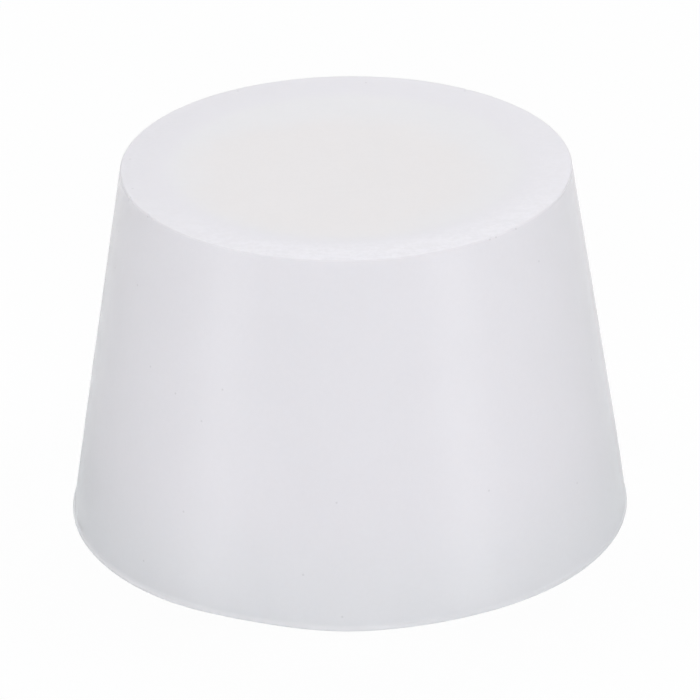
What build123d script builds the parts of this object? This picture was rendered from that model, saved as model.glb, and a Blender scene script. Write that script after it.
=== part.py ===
from build123d import *
import math
import os

# Solid rubber stopper: one moulded piece of silicone, a tapered plug standing on its wide end.
# Origin at the middle of the wide face, +Z along the plug's axis towards the small end, millimetres.
# The wall is a plain cone. At the wide face it runs out into a thin lip, left where the flash of the
# moulding was trimmed off by hand, so the lip's edge is a little off the plug's axis and wavy.

# Driving dimensions, in millimetres
wide_end_diameter = 37.8  # the wall's cone, carried down to the wide face
small_end_diameter = 30.1  # the wall's cone, carried up to the small face
plug_length = 25.0

# Trim lip at the wide end
lip_height = 0.9  # the wall starts to flare this far above the wide face
lip_flare = 0.05  # mean width that the lip stands out of the wall's cone
lip_offset = 0.08  # the trimming cut's distance off the axis, towards -X
knife_wave = 0.08  # half the height of each wave that the knife left in the lip's edge
knife_wave_counts = (5, 7)  # crests of each wave round the edge, one of them at the front, -Y
knife_points_per_crest = 6

# Edges
wide_edge_radius = 0.12
small_edge_radius = 0.1


def wall_radius(height):
    """Radius of the tapered wall at a height above the wide face."""
    taper = (wide_end_diameter - small_end_diameter) / (2 * plug_length)
    return wide_end_diameter / 2 - taper * height


def trim_radius(angle):
    """Radius of the trimmed edge at an angle, in radians, from +X towards +Y."""
    from_front = angle + math.pi / 2
    waves = sum(math.cos(count * from_front) for count in knife_wave_counts)
    return wall_radius(0) + lip_flare - lip_offset * math.cos(angle) + knife_wave * waves


def trimmed_outline():
    """Points round the trimmed edge, close enough together to follow its shortest wave."""
    count = knife_points_per_crest * max(knife_wave_counts)
    angles = [2 * math.pi * step / count for step in range(count)]
    return [(trim_radius(angle) * math.cos(angle), trim_radius(angle) * math.sin(angle)) for angle in angles]


def tapered_wall():
    """The cone between the trim lip and the small face, with the small end's rim rounded."""
    with BuildPart() as wall:
        with Locations((0, 0, lip_height)):
            Cone(
                bottom_radius=wall_radius(lip_height),
                top_radius=wall_radius(plug_length),
                height=plug_length - lip_height,
                align=(Align.CENTER, Align.CENTER, Align.MIN),
            )
        small_rim = wall.edges().filter_by(GeomType.CIRCLE).sort_by(Axis.Z)[-1]
        fillet(small_rim, small_edge_radius)
    return wall.part


def trim_lip():
    """The foot of the wall, from the cone to the hand-trimmed edge of the wide face."""
    with BuildPart() as lip:
        with BuildSketch(Plane.XY):
            with BuildLine():
                Spline(*trimmed_outline(), periodic=True)
            make_face()
        with BuildSketch(Plane.XY.offset(lip_height)):
            Circle(wall_radius(lip_height))
        loft(ruled=True)
        wide_rim = lip.faces().sort_by(Axis.Z)[0].edges()
        fillet(wide_rim, wide_edge_radius)
    return lip.part


def stopper():
    """The whole stopper as one solid."""
    return tapered_wall() + trim_lip()


os.makedirs("parts", exist_ok=True)
export_step(stopper(), "parts/stopper.step")
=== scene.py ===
import math
import random

import bpy
import numpy as np
from mathutils import Matrix, Vector, noise


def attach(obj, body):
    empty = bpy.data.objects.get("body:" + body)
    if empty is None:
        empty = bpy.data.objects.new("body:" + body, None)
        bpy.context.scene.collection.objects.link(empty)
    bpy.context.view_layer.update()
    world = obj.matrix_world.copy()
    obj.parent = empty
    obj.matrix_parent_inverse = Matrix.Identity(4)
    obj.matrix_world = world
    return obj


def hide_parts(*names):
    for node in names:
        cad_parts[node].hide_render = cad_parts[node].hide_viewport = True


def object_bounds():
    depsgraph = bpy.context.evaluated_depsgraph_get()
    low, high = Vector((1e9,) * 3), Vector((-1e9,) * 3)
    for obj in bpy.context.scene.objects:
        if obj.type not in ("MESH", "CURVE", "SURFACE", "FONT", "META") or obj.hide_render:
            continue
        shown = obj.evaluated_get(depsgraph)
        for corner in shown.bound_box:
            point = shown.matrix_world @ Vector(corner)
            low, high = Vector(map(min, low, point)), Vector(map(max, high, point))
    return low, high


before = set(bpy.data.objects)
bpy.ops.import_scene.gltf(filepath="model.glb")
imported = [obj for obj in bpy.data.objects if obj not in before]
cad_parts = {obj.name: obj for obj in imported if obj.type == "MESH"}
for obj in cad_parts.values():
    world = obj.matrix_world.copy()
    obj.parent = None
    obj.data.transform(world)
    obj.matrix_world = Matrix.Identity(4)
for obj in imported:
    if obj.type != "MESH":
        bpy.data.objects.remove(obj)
cad_low, cad_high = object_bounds()

# Its colour paints some light and shade as well: a glow on the small face, shade on one side of its rim,
# in its nicks and towards the foot, and a highlight along the trimmed edge.
# A solid rubber stopper of translucent white silicone, standing on its wide end. The piece is turned
# from the imported part's own cone, with what moulding, trimming and use have left on it: a hand-trimmed
# lip at the wide end, a slightly nicked small rim, faint hollows, specks, and a chalky, scuffed face.
# Lengths are metres. Angles on the plug are degrees from the front, -Y, towards +X.

mm = 0.001
front_angle = -90  # degrees about +Z from +X to the front

# Fineness of the turned mesh
segments = 1080
face_rings = 12
edge_rings = 6
lip_rings = 12
wall_rings = 24
guard_share = 0.1  # how close a ring of the face lies to the rim, so that the rim's bend stays there
cone_fit_shares = (0.1, 0.9)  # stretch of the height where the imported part's wall is measured

# Hand-trimmed foot at the wide end
lip_height = 0.9 * mm
trim_height = 6.0 * mm  # how far up the wall the unevenness of the trimmed edge runs out
trim_inset = 0.06 * mm  # mean depth of the trimming cut inside the wall's cone
trim_offset = 0.03 * mm  # the trimming cut's distance off the axis
trim_angle = -90  # the side that the cut is off towards
trim_depth = 0.3 * mm
trim_mark_shares = (  # angle and half width in degrees, and depth that the knife left or took
    (0, 9, 0.66),
    (-23, 13, -0.63),
    (180, 25, -0.35),
)
flash_width = 0.07 * mm  # mean width of the thin fin of flash that the knife left on the edge
flash_offset = 0.03 * mm  # how much wider than that the flash is at its widest
flash_angle = -40  # where the flash is widest
flash_side_height = 0.16 * mm  # the flash has its full width up to here
flash_top_height = 0.28 * mm  # and runs out into the wall here
flash_gaps = ((-23, 14), (0, 10), (28, 14))  # stretches without flash, by angle and half width in degrees
wide_edge_radius = 0.06 * mm

# Small rim
small_edge_radius = 0.1 * mm
rim_change_share = 0.35  # how far the rim's rounding grows and shrinks along the rim
rim_wave_shares = ((3, 40, 0.5), (7, -15, 0.3), (17, 5, 0.2))  # crests, angle of a crest, and part in that
nick_depth_share = 0.7
nick_half_width = 0.12 * mm
nick_angles = (-72, -60, -57, 38, 40, 47, 146, 210)

# Unevenness of the wall and the faces
swell_height = 0.012 * mm
swell_shares = (  # crests round the wall, angle of a crest at the foot, its turn up the wall, and part
    (2, 30, 90, 0.6),
    (5, 0, 140, 0.4),
)
hollow_depth = 0.03 * mm
hollow_size = 7.0 * mm
hollow_seed_place = 40.0 * mm  # where in the noise the hollows are read
hollow_power = 8  # how close to the rim of a face its hollows run out

# Colours of the silicone, as linear red, green and blue
wall_colour = (0.809, 0.793, 0.833, 1.0)
# The foot's colour is darker than the wall's: painted shade near the floor, as well as a slightly bluer
# tone
foot_tone_and_shade_colour = (0.777, 0.777, 0.807, 1.0)
face_colour = (0.814, 0.811, 0.833, 1.0)
# The small face's warm middle and cool rim are painted light, standing in for light that scatters inside
# the silicone
warm_glow_colour = (0.821, 0.803, 0.811, 1.0)
cool_rim_glow_colour = (0.803, 0.795, 0.833, 1.0)
# Darker colour on one side of the small face's rim: painted shade, blotched by real mottling
rim_shade_colour = (0.768, 0.761, 0.799, 1.0)
chalk_colour = (0.884, 0.875, 0.921, 1.0)
# The pale colour of the trimmed edge at the foot is a painted highlight
edge_highlight_colour = (0.895, 0.89, 0.92, 1.0)
# Dark colour of the specks of dirt and of the painted shade in the rim's nicks
speck_and_nick_shade_colour = (0.30, 0.29, 0.31, 1.0)
cloud_size = 3.5 * mm
cloud_share = 0.008
dust_size = 0.3 * mm
dust_share = 0.012
grain_detail = 3.0

# Where the wall and the small face change colour, and where that colour paints light and shade
edge_highlight_full_height = 0.2 * mm  # a painted highlight makes the thin trimmed edge paler up to here
edge_highlight_end_height = 0.5 * mm  # and no paler than the wall from here up
edge_highlight_angle = -95  # where the painted highlight on the trimmed edge is brightest
edge_highlight_even_share = 0.4  # share of the painted highlight on the edge that is the same all round
# From the foot up to the second height, the wall's colour turns from the darker foot colour to its own:
# painted shade near the floor, as well as a bluer tone
foot_shade_full_height = 0.0 * mm
foot_shade_end_height = 9.0 * mm
# Where the painted warm glow in the middle of the small face and its painted cool rim lie
warm_centre_x = -0.6 * mm
warm_centre_y = -1.6 * mm
warm_radius = 9.6 * mm
warm_softness = 2.2 * mm
warm_ragged = 1.5 * mm
warm_ragged_size = 5.0 * mm
cool_width = 4.2 * mm
cool_full_share = 0.55  # share of the painted cool band, from the rim, where it is full
chalk_width = 3.6 * mm
chalk_full_share = 0.25  # share of the chalky band, from the rim, where it is full
chalk_angle = 12  # the side of the rim where the chalky scuffs are strongest
rim_shade_angle = -90  # the side of the rim that has painted shade
side_power = 2.2  # how quickly the chalk, the painted shade on the rim and the painted highlight on the edge fall off round the plug
even_share = 0.5  # share of the chalk and of the rim's painted shade that is even, without scuffs or blots
scuff_width = 0.35 * mm
scuff_slimness_share = 0.3  # a scuff's width as a share of its length, which lies along X
blot_size = 0.3 * mm
mark_start_share = 0.4
mark_full_share = 0.6

# Specks of dirt, and dark spots painted as shade in the rim's nicks: on the wall by angle and height
# share, on the small face by angle and radius share
wall_speck_shares = (
    (73, 0.51),
    (-76, 0.78),
    (-77, 0.88),
    (-48, 0.08),
    (-61, 0.80),
    (-2, 0.04),
    (-38, 0.26),
    (57, 0.24),
    (-3, 0.35),
    (-10, 0.15),
    (31, 0.33),
    (-43, 0.57),
    (-52, 0.61),
    (-35, 0.52),
    (-30, 0.62),
    (54, 0.88),
    (80, 0.967),
    # These last five lie in the rim's nicks and paint their shade
    (-72, 0.99),
    (-60, 0.996),
    (38, 0.996),
    (40, 0.996),
    (47, 0.996),
)
face_speck_shares = ((-96, 0.97), (-77, 0.97), (-150, 0.98), (146, 0.98), (174, 0.93))
far_speck_count = 12  # specks on the side away from the front
far_speck_seed = 11
far_speck_angles = (95, 265)
far_speck_height_shares = (0.06, 0.94)
speck_radius = 0.11 * mm
speck_core_share = 0.3
speck_strength_share = 0.2

# Gloss, scratches and depth of the silicone
wall_roughnesses = (0.21, 0.26)
face_roughnesses = (0.5, 0.7)
gloss_patch_size = 1.2 * mm
scuff_depth = 0.012 * mm
skin_size = 0.25 * mm
skin_depth_share = 0.12
refraction = 1.41
scatter_share = 0.2
scatter_depth = 0.8 * mm
scatter_colour_shares = (1.0, 0.92, 0.88)

# Camera
camera_distance = 424.3 * mm
camera_elevation = 25.64
camera_roll = -0.80
camera_lens = 323.5  # millimetres, on the sensor below
camera_sensor = 36.0
aim_right = 0.10 * mm
aim_below = 1.05 * mm

# Softboxes by angle on the plug, elevation and power in watts
softboxes = {
    "back_softbox": (180, 52, 2.52),
    "front_softbox": (0, 20, 4.0),
    "left_softbox": (-103, 42, 2.05),
    "right_softbox": (101, 42, 2.48),
}
box_distance = 800 * mm
box_side = 450 * mm

# Strips of light close before the wall, which only the gloss shows, by the angle on the plug of the
# highlight that each draws there and by power in milliwatts
strips = {
    "right_strip": (25, 0.030),
    "left_strip": (-29, 0.027),
}
milliwatt = 0.001
strip_gap = 4.3 * mm  # from the wall's foot to the strip's middle, as seen from above
strip_width = 10 * mm
strip_height = 24 * mm
strip_fall = 14  # degrees below level at which the wall's foot mirrors the camera's view
strip_spread = 30  # degrees over which a strip's light fans out

# Floor
floor_side = 3000 * mm
floor_gap = 0.02 * mm
floor_colour = (0.90, 0.925, 0.93, 1.0)
floor_white_share = 0.95  # share of plain white in the floor as the camera sees it; the rest is lit
floor_gloss_white_shares = (0.0, 1.0)  # the same as the gloss shows the floor, near and far
floor_near_radius = 25 * mm
floor_far_radius = 75 * mm

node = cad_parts["stopper"]
plug_length = cad_high.z - cad_low.z
middle = Vector((0, 0, plug_length / 2))


def measured_cone():
    """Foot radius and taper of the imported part's wall, from its vertices between the two rims."""
    points = np.array([vertex.co for vertex in node.data.vertices])
    heights = points[:, 2]
    radii = np.hypot(points[:, 0], points[:, 1])
    low_share, high_share = cone_fit_shares
    on_wall = (heights > low_share * plug_length) & (heights < high_share * plug_length)
    slope, foot = np.polyfit(heights[on_wall], radii[on_wall], 1)
    return foot, -slope


foot_radius, wall_taper = measured_cone()
wall_tilt = math.atan(wall_taper)
angles = np.linspace(0, 2 * math.pi, segments, endpoint=False)


def cone_radius(height):
    """Radius of the plain tapered wall at a height above the wide face."""
    return foot_radius - wall_taper * height


face_radius = cone_radius(plug_length) - small_edge_radius


def plug_angle(degrees):
    """An angle from the front, in degrees, as the turn about +Z from +X, in radians."""
    return math.radians(degrees + front_angle)


def wave(count, degrees):
    """A wave round the plug with that many crests, one of them at an angle from the front."""
    return np.cos(count * (angles - plug_angle(degrees)))


def level(height):
    """A ring's height where it is the same all round."""
    return np.full(segments, height)


def bump_at(degrees, half_width):
    """A soft bump round the plug, 1 at an angle from the front, with a half width in radians."""
    away = (angles - plug_angle(degrees) + math.pi) % (2 * math.pi) - math.pi
    return np.exp(-((away / half_width) ** 2))


def plug_radius(height):
    """Radius round the plug at a height: the cone and, at its foot, the trimmed edge and its flash."""
    trim = trim_offset * wave(1, trim_angle) - trim_inset
    for degrees, half_degrees, depth_share in trim_mark_shares:
        trim = trim + depth_share * trim_depth * bump_at(degrees, math.radians(half_degrees))
    flash = flash_width + flash_offset * wave(1, flash_angle)
    for degrees, half_degrees in flash_gaps:
        flash = flash * (1 - bump_at(degrees, math.radians(half_degrees)))
    trim_share = np.clip(1 - height / trim_height, 0, 1) ** 2
    flash_share = np.clip((flash_top_height - height) / (flash_top_height - flash_side_height), 0, 1)
    return cone_radius(height) + trim * trim_share + flash * flash_share


def small_rounding():
    """Radius of the small rim's rounding, round the plug."""
    change = sum(part_share * wave(count, degrees) for count, degrees, part_share in rim_wave_shares)
    return small_edge_radius * (1 + rim_change_share * change)


def nick_shares():
    """How deep the rim is nicked, round the plug, as a share of the full depth."""
    shares = np.zeros(segments)
    for degrees in nick_angles:
        shares = np.maximum(shares, bump_at(degrees, nick_half_width / face_radius))
    return shares


def face_ring(radius, height, step):
    """A ring of a flat face, counted from its middle, with the hollows of the face."""
    share = math.sqrt(step / face_rings)
    depth_shares = []
    for turn, reach in zip(angles, radius * share):
        place = Vector((reach * math.cos(turn), reach * math.sin(turn), hollow_seed_place + height))
        depth_shares.append((1 + noise.noise(place / hollow_size)) / 2)
    sunk = hollow_depth * (1 - share**hollow_power) * np.array(depth_shares)
    inward = 1 if height == 0 else -1
    return radius * share, height + inward * sunk


def wide_end_rings():
    """Rings of the wide face from its middle outwards, of its rounded edge and of the trim lip."""
    edge = wide_edge_radius
    edge_radius = plug_radius(edge)
    rings = [face_ring(edge_radius - edge, 0, step) for step in range(1, face_rings + 1)]
    for step in range(1, edge_rings + 1):
        turn = math.pi / 2 * step / edge_rings
        rings.append((edge_radius - edge + edge * math.sin(turn), level(edge - edge * math.cos(turn))))
    for step in range(1, lip_rings + 1):
        height = edge + (lip_height - edge) * (step / lip_rings) ** 2
        rings.append((plug_radius(height), level(height)))
    return rings


def wall_up_rings():
    """Rings of the tapered wall, closer together towards the small rim, with its faint swells."""
    wall_top = plug_length - small_rounding() * (1 - math.sin(wall_tilt))
    rings = []
    for step in range(1, wall_rings + 1):
        share = 1 - (1 - step / wall_rings) ** 2
        height = lip_height + (wall_top - lip_height) * share
        swell = 0
        for count, degrees, twist, part_share in swell_shares:
            swell = swell + part_share * wave(count, degrees + twist * share)
        rings.append((plug_radius(height) + swell_height * math.sin(math.pi * share) * swell, height))
    return rings


def small_end_rings():
    """Rings of the rounded small rim with its nicks, and of the small face to its middle."""
    rounding = small_rounding()
    arc_height = plug_length - rounding
    arc_radius = cone_radius(arc_height) - rounding / math.cos(wall_tilt)
    nicked = nick_depth_share * nick_shares()
    rings = []
    for step in range(1, edge_rings + 1):
        turn = wall_tilt + (math.pi / 2 - wall_tilt) * step / edge_rings
        reach = rounding * (1 - nicked * math.sin(math.pi * (step - 0.5) / edge_rings))
        rings.append((arc_radius + reach * math.cos(turn), arc_height + reach * math.sin(turn)))
    for step in (face_rings - guard_share, *reversed(range(1, face_rings))):
        rings.append(face_ring(arc_radius, plug_length, step))
    return rings


def turned_mesh(name, rings):
    """A closed mesh through rings of points, with a point at the middle of the first and last ring."""
    points = []
    for radius, height in rings:
        points += zip(radius * np.cos(angles), radius * np.sin(angles), height)
    first_middle = len(points)
    last_middle = first_middle + 1
    points.append((0, 0, float(np.mean(rings[0][1]))))
    points.append((0, 0, float(np.mean(rings[-1][1]))))
    faces = []
    last_start = (len(rings) - 1) * segments
    for column in range(segments):
        beside = (column + 1) % segments
        faces.append((first_middle, beside, column))
        faces.append((last_middle, last_start + column, last_start + beside))
        for row in range(len(rings) - 1):
            below = row * segments
            above = below + segments
            faces.append((below + column, below + beside, above + beside, above + column))
    mesh = bpy.data.meshes.new(name)
    mesh.from_pydata(points, [], faces)
    mesh.shade_smooth()
    return mesh


def add_node(tree, kind, **settings):
    """A new shader node with its settings."""
    made = tree.nodes.new(kind)
    for setting, value in settings.items():
        setattr(made, setting, value)
    return made


def feed(tree, socket, value):
    """Links an output to a socket, or sets the socket to a plain value."""
    if isinstance(value, bpy.types.NodeSocket):
        tree.links.new(value, socket)
    else:
        socket.default_value = value


def sums(tree, operation, *values):
    """The result of a sum on numbers or outputs."""
    made = add_node(tree, "ShaderNodeMath", operation=operation)
    for socket, value in zip(made.inputs, values):
        feed(tree, socket, value)
    return made.outputs["Value"]


def product(tree, first, *others):
    """Several numbers or outputs multiplied together."""
    result = first
    for other in others:
        result = sums(tree, "MULTIPLY", result, other)
    return result


def reach_of(tree, across, along):
    """The length of a step across and along."""
    square = sums(tree, "ADD", product(tree, across, across), product(tree, along, along))
    return sums(tree, "SQRT", square)


def step_of(tree, value, start, end):
    """A smooth step of a value, from 0 at start to 1 at end."""
    made = add_node(tree, "ShaderNodeMapRange", interpolation_type="SMOOTHSTEP")
    feed(tree, made.inputs["Value"], value)
    feed(tree, made.inputs["From Min"], start)
    feed(tree, made.inputs["From Max"], end)
    return made.outputs["Result"]


def span_of(tree, value, low, high):
    """A value from 0 to 1 spread over a span from low to high."""
    made = add_node(tree, "ShaderNodeMapRange")
    feed(tree, made.inputs["Value"], value)
    feed(tree, made.inputs["To Min"], low)
    feed(tree, made.inputs["To Max"], high)
    return made.outputs["Result"]


def mixed(tree, share, first, second):
    """A mix of two colours."""
    made = add_node(tree, "ShaderNodeMix", data_type="RGBA")
    feed(tree, made.inputs["Factor"], share)
    colours = [socket for socket in made.inputs if socket.type == "RGBA"]
    feed(tree, colours[0], first)
    feed(tree, colours[1], second)
    return next(socket for socket in made.outputs if socket.type == "RGBA")


def shaded(tree, colour, factor):
    """A colour made lighter or darker by a factor."""
    made = add_node(tree, "ShaderNodeVectorMath", operation="SCALE")
    feed(tree, made.inputs["Vector"], colour)
    feed(tree, made.inputs["Scale"], factor)
    return made.outputs["Vector"]


def grain(tree, place, size):
    """Noise with bumps of about that size, from 0 to 1."""
    made = add_node(tree, "ShaderNodeTexNoise")
    feed(tree, made.inputs["Vector"], place)
    made.inputs["Scale"].default_value = 1 / size
    made.inputs["Detail"].default_value = grain_detail
    return made.outputs["Fac"]


def spot_of(tree):
    """Where a point of the surface is, as outputs: its place, its three distances and its radius."""
    place = add_node(tree, "ShaderNodeTexCoord").outputs["Object"]
    axes = add_node(tree, "ShaderNodeSeparateXYZ")
    feed(tree, axes.inputs["Vector"], place)
    across, along, height = axes.outputs
    radius = reach_of(tree, across, along)
    return dict(place=place, across=across, along=along, height=height, radius=radius)


def scuff_grain(tree, place):
    """Noise drawn out along X, as the scuffs on the small face are."""
    drawn_out = add_node(tree, "ShaderNodeMapping")
    feed(tree, drawn_out.inputs["Vector"], place)
    drawn_out.inputs["Scale"].default_value = (scuff_slimness_share, 1.0, 1.0)
    return grain(tree, drawn_out.outputs["Vector"], scuff_width)


def rim_side(tree, spot, degrees):
    """1 on the side of the plug at an angle from the front, falling to 0 on the opposite side."""
    turn = sums(tree, "ARCTAN2", spot["along"], spot["across"])
    towards = sums(tree, "COSINE", sums(tree, "SUBTRACT", turn, plug_angle(degrees)))
    return sums(tree, "POWER", sums(tree, "MULTIPLY_ADD", towards, 0.5, 0.5), side_power)


def rim_band(tree, spot, width, full_share):
    """1 at the rim of the small face, over a share of a width inwards, falling to 0 at that width."""
    return step_of(tree, spot["radius"], face_radius - width, face_radius - full_share * width)


def marks(tree, noise_share):
    """Marks where noise is high, over an even share."""
    return span_of(tree, step_of(tree, noise_share, mark_start_share, mark_full_share), even_share, 1.0)


def face_tone(tree, spot, scuffs):
    """Colour of the small face: a warm middle and a cool rim painted for light scattered inside, chalky
    scuffs, and painted shade blotched on one side of the rim.
    """
    warm_across = sums(tree, "SUBTRACT", spot["across"], warm_centre_x)
    warm_along = sums(tree, "SUBTRACT", spot["along"], warm_centre_y)
    ragged = span_of(tree, grain(tree, spot["place"], warm_ragged_size), -warm_ragged, warm_ragged)
    warm_reach = sums(tree, "ADD", reach_of(tree, warm_across, warm_along), ragged)
    # Painted light: a warm glow in the middle and a cool band at the rim
    warm = step_of(tree, warm_reach, warm_radius + warm_softness, warm_radius - warm_softness)

    cool = rim_band(tree, spot, cool_width, cool_full_share)
    on_rim = rim_band(tree, spot, chalk_width, chalk_full_share)
    blots = grain(tree, spot["place"], blot_size)
    scuffed = product(tree, sums(tree, "ADD", scuffs, blots), 0.5)
    chalk = product(tree, on_rim, rim_side(tree, spot, chalk_angle), marks(tree, scuffed))
    # Painted shade on one side of the rim, in blots
    painted_rim_shade = product(tree, on_rim, rim_side(tree, spot, rim_shade_angle), marks(tree, blots))

    tone = mixed(tree, warm, face_colour, warm_glow_colour)
    tone = mixed(tree, cool, tone, cool_rim_glow_colour)
    tone = mixed(tree, painted_rim_shade, tone, rim_shade_colour)
    return mixed(tree, chalk, tone, chalk_colour)


def on_plug(degrees, radius, height):
    """The place on the plug at an angle from the front, a radius and a height."""
    turn = plug_angle(degrees)
    return Vector((radius * math.cos(turn), radius * math.sin(turn), height))


def speck_places():
    """Places of the specks: those named above, and those on the far side of the wall by a seeded draw."""
    draw = random.Random(far_speck_seed)
    wall_shares = list(wall_speck_shares)
    for _ in range(far_speck_count):
        wall_shares.append((draw.uniform(*far_speck_angles), draw.uniform(*far_speck_height_shares)))
    places = []
    for degrees, height_share in wall_shares:
        height = height_share * plug_length
        radius = np.interp(plug_angle(degrees), angles, plug_radius(height), period=2 * math.pi)
        places.append(on_plug(degrees, radius, height))
    for degrees, radius_share in face_speck_shares:
        places.append(on_plug(degrees, radius_share * face_radius, plug_length))
    return places


def speck_mask(tree, place):
    """1 on the specks and 0 elsewhere."""
    mask = 0.0
    for speck in speck_places():
        away = add_node(tree, "ShaderNodeVectorMath", operation="DISTANCE")
        feed(tree, away.inputs[0], place)
        feed(tree, away.inputs[1], speck)
        core = step_of(tree, away.outputs["Value"], speck_radius, speck_core_share * speck_radius)
        mask = sums(tree, "MAXIMUM", mask, core)
    return mask


def silicone():
    """Translucent white silicone: a smooth moulded wall and a matt, scuffed small face."""
    material = bpy.data.materials.new("silicone")
    material.use_nodes = True
    tree = material.node_tree
    shader = tree.nodes["Principled BSDF"]
    spot = spot_of(tree)
    scuffs = scuff_grain(tree, spot["place"])
    inside_rim = step_of(tree, spot["radius"], face_radius + small_edge_radius / 2, face_radius)
    on_face = product(tree, inside_rim, step_of(tree, spot["height"], plug_length / 2, plug_length))
    arc_foot = plug_length - small_edge_radius
    near_face = step_of(tree, spot["height"], arc_foot, plug_length - small_edge_radius / 2)

    # Painted shade near the floor: the wall's colour is darker towards its foot
    above_foot_shade = step_of(tree, spot["height"], foot_shade_full_height, foot_shade_end_height)
    wall_tone = mixed(tree, above_foot_shade, foot_tone_and_shade_colour, wall_colour)
    # Painted highlight along the trimmed edge, brightest on one side
    on_edge_highlight = step_of(tree, spot["height"], edge_highlight_end_height, edge_highlight_full_height)
    pale = span_of(tree, rim_side(tree, spot, edge_highlight_angle), edge_highlight_even_share, 1.0)
    wall_tone = mixed(tree, product(tree, on_edge_highlight, pale), wall_tone, edge_highlight_colour)
    tone = mixed(tree, on_face, wall_tone, face_tone(tree, spot, scuffs))
    cloud = span_of(tree, grain(tree, spot["place"], cloud_size), 1 - cloud_share, 1 + cloud_share)
    dust = span_of(tree, grain(tree, spot["place"], dust_size), 1 - dust_share, 1 + dust_share)
    tone = shaded(tree, tone, product(tree, cloud, dust))
    # Specks of dirt, and painted shade in the rim's nicks
    dirt_and_nick_shade = product(tree, speck_mask(tree, spot["place"]), speck_strength_share)
    feed(tree, shader.inputs["Base Color"], mixed(tree, dirt_and_nick_shade, tone, speck_and_nick_shade_colour))

    wall_matt = span_of(tree, grain(tree, spot["place"], gloss_patch_size), *wall_roughnesses)
    face_matt = span_of(tree, scuffs, *face_roughnesses)
    feed(tree, shader.inputs["Roughness"], span_of(tree, near_face, wall_matt, face_matt))

    skin = product(tree, grain(tree, spot["place"], skin_size), skin_depth_share)
    bump = add_node(tree, "ShaderNodeBump")
    bump.inputs["Distance"].default_value = scuff_depth
    feed(tree, bump.inputs["Height"], sums(tree, "ADD", product(tree, scuffs, on_face), skin))
    feed(tree, shader.inputs["Normal"], bump.outputs["Normal"])

    shader.inputs["IOR"].default_value = refraction
    shader.inputs["Subsurface Weight"].default_value = scatter_share
    shader.inputs["Subsurface Radius"].default_value = scatter_colour_shares
    shader.inputs["Subsurface Scale"].default_value = scatter_depth
    return material


def add_stopper():
    """The stopper as one turned piece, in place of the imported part's plain solid."""
    rings = wide_end_rings() + wall_up_rings() + small_end_rings()
    piece = bpy.data.objects.new("silicone_stopper", turned_mesh("silicone_stopper", rings))
    bpy.context.scene.collection.objects.link(piece)
    piece.data.materials.append(silicone())
    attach(piece, "root")
    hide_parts("stopper")


def seen_share(tree, camera_share=1.0, gloss_share=1.0):
    """The share of plain white for the camera, straight or in gloss and through glass; light gets none."""
    path = add_node(tree, "ShaderNodeLightPath")
    straight = product(tree, path.outputs["Is Camera Ray"], camera_share)
    bent = sums(tree, "MAXIMUM", path.outputs["Is Glossy Ray"], path.outputs["Is Transmission Ray"])
    return sums(tree, "MAXIMUM", straight, product(tree, bent, gloss_share))


def add_floor():
    """A plain pale floor, nearly white to the camera, which keeps the stopper's faint shadow."""
    half = floor_side / 2
    corners = [(x * half, y * half, -floor_gap) for x, y in ((-1, -1), (1, -1), (1, 1), (-1, 1))]
    mesh = bpy.data.meshes.new("floor")
    mesh.from_pydata(corners, [], [(0, 1, 2, 3)])
    floor = bpy.data.objects.new("floor", mesh)
    bpy.context.scene.collection.objects.link(floor)
    material = bpy.data.materials.new("pale_floor")
    material.use_nodes = True
    tree = material.node_tree
    tree.nodes.remove(tree.nodes["Principled BSDF"])
    lit = add_node(tree, "ShaderNodeBsdfDiffuse")
    lit.inputs["Color"].default_value = floor_colour
    white = add_node(tree, "ShaderNodeEmission")
    both = add_node(tree, "ShaderNodeMixShader")
    first, second = [socket for socket in both.inputs if socket.type == "SHADER"]
    far = step_of(tree, spot_of(tree)["radius"], floor_near_radius, floor_far_radius)
    gloss_share = span_of(tree, far, *floor_gloss_white_shares)
    feed(tree, both.inputs["Fac"], seen_share(tree, floor_white_share, gloss_share))
    feed(tree, first, lit.outputs["BSDF"])
    feed(tree, second, white.outputs["Emission"])
    feed(tree, tree.nodes["Material Output"].inputs["Surface"], both.outputs["Shader"])
    mesh.materials.append(material)


def add_world():
    """White to the camera and in gloss, and no light of its own."""
    world = bpy.data.worlds.new("studio")
    world.use_nodes = True
    tree = world.node_tree
    backdrop = tree.nodes["Background"]
    backdrop.inputs["Color"].default_value = (1.0, 1.0, 1.0, 1.0)
    feed(tree, backdrop.inputs["Strength"], seen_share(tree))
    bpy.context.scene.world = world


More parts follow.
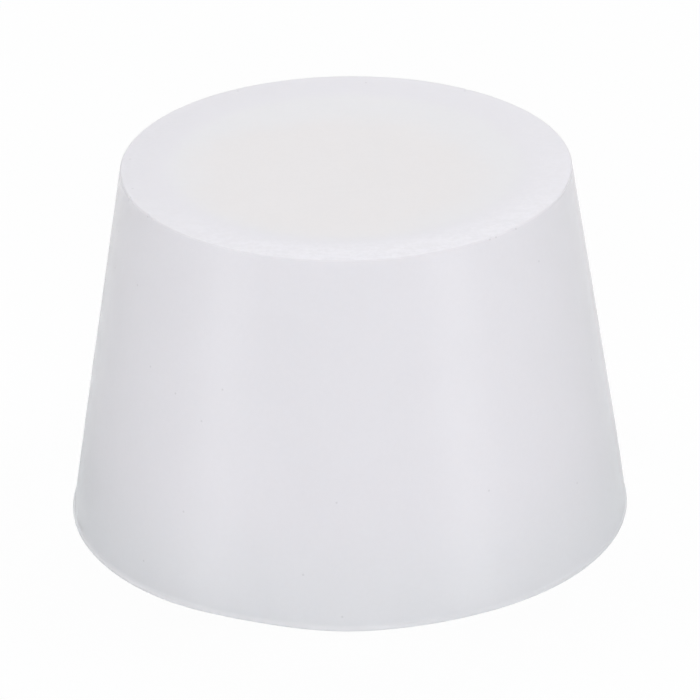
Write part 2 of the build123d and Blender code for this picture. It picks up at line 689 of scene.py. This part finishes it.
def add_lamp(name, place, away, width, height, power):
    """A flat lamp at a place, facing back along the direction away; the camera doesn't see it."""
    data = bpy.data.lights.new(name, "AREA")
    data.shape = "RECTANGLE"
    data.size = width
    data.size_y = height
    data.energy = power
    lamp = bpy.data.objects.new(name, data)
    bpy.context.scene.collection.objects.link(lamp)
    lamp.location = place
    lamp.rotation_euler = (-away).to_track_quat("-Z", "Y").to_euler()
    lamp.visible_camera = False
    return lamp


def add_softbox(name, degrees, elevation, power):
    """A softbox at an angle from the front and an elevation, facing the middle of the stopper."""
    rise = math.radians(elevation)
    away = on_plug(degrees, math.cos(rise), math.sin(rise))
    add_lamp(name, middle + box_distance * away, away, box_side, box_side, power)


def add_strip(name, degrees, power):
    """A strip that the wall mirrors towards the front as an upright highlight at an angle."""
    mirrored = 2 * degrees
    fall = math.radians(strip_fall)
    away = on_plug(mirrored, math.cos(fall), -math.sin(fall))
    half_rise = strip_height / 2 * math.cos(fall)
    place = on_plug(degrees, foot_radius, half_rise) + on_plug(mirrored, strip_gap, 0)
    strip = add_lamp(name, place, away, strip_width, strip_height, power * milliwatt)
    strip.data.spread = math.radians(strip_spread)
    strip.visible_diffuse = False


def add_light():
    """Four softboxes, and two strips for the narrow highlights on the wall."""
    for name, (degrees, elevation, power) in softboxes.items():
        add_softbox(name, degrees, elevation, power)
    for name, (degrees, power) in strips.items():
        add_strip(name, degrees, power)


def add_camera():
    """The camera at the photograph's angle, aimed a little below the middle of the stopper."""
    data = bpy.data.cameras.new("camera")
    data.lens = camera_lens
    data.sensor_width = camera_sensor
    camera = bpy.data.objects.new("camera", data)
    bpy.context.scene.collection.objects.link(camera)
    rise = math.radians(camera_elevation)
    back = Vector((0, -math.cos(rise), math.sin(rise)))
    right = Vector((1, 0, 0))
    up = back.cross(right)
    camera.location = middle + camera_distance * back
    aim = middle + aim_right * right - aim_below * up
    look = (aim - camera.location).to_track_quat("-Z", "Y").to_matrix()
    camera.rotation_euler = (look @ Matrix.Rotation(math.radians(camera_roll), 3, "Z")).to_euler()
    bpy.context.scene.camera = camera


add_stopper()
add_floor()
add_world()
add_light()
add_camera()
bpy.context.scene.view_settings.view_transform = "Standard"
